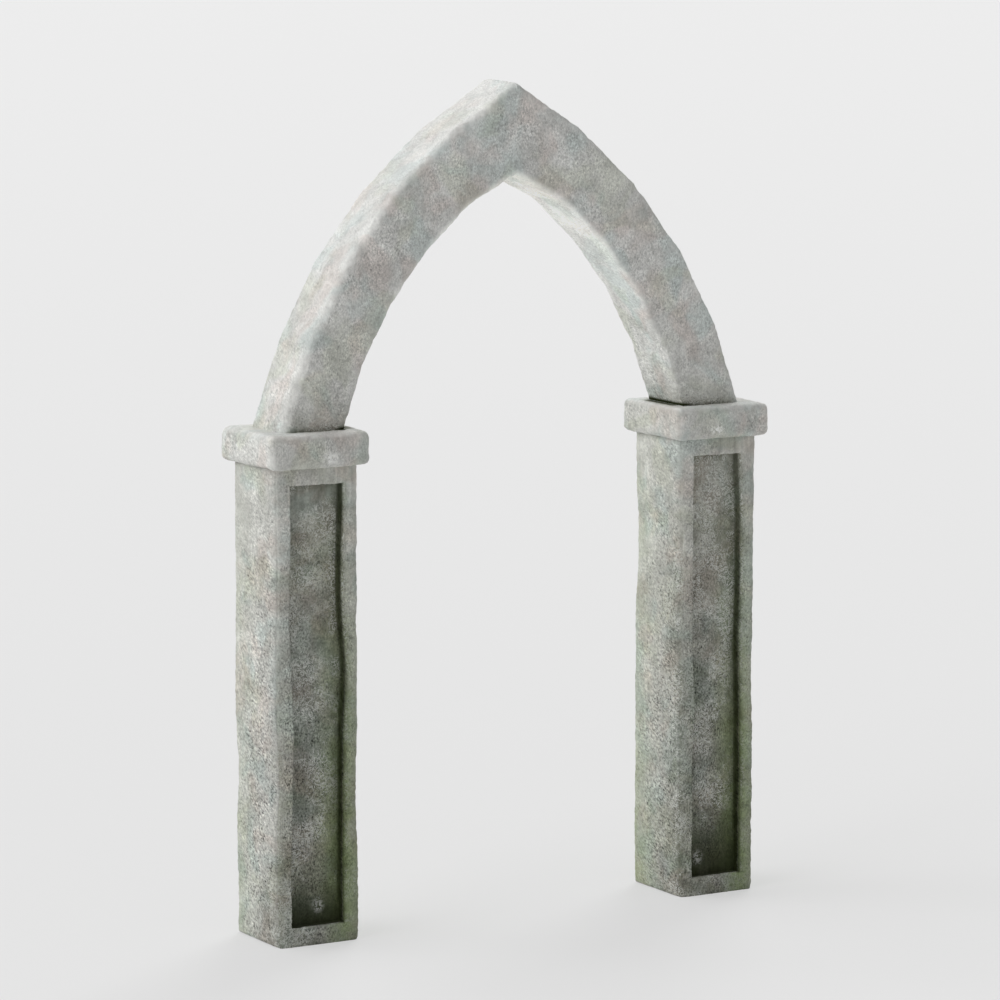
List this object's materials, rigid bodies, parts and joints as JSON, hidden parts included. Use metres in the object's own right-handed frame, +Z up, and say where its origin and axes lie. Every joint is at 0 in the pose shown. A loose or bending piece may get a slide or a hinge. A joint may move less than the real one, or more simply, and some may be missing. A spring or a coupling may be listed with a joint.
{
  "type": "free-standing gothic arch",
  "caption": "Free-standing pointed stone arch to walk through: sunk-panelled square shafts with plain imposts carry a ring of straight-dressed stones that meet at a pointed apex.",
  "frame": {"origin": "on the ground, midway between the two shafts and midway between front and back", "axes": "+Z up, +X along the arch from the left shaft to the right shaft, the front faces -Y"},
  "size_m": [2.542, 0.504, 3.728],
  "materials": {
    "shaft_stone": "weathered, rough",
    "impost_stone": "weathered, rough",
    "ring_stone": "weathered, rough"
  },
  "bodies": {
    "root": {"left_shaft": "shaft_stone", "left_impost": "impost_stone", "left_springer": "ring_stone", "left_voussoir_1": "ring_stone", "left_voussoir_2": "ring_stone", "left_voussoir_3": "ring_stone", "left_apex_stone": "ring_stone", "right_shaft": "shaft_stone", "right_impost": "impost_stone", "right_springer": "ring_stone", "right_voussoir_1": "ring_stone", "right_voussoir_2": "ring_stone", "right_voussoir_3": "ring_stone", "right_apex_stone": "ring_stone"}
  },
  "joints": []
}
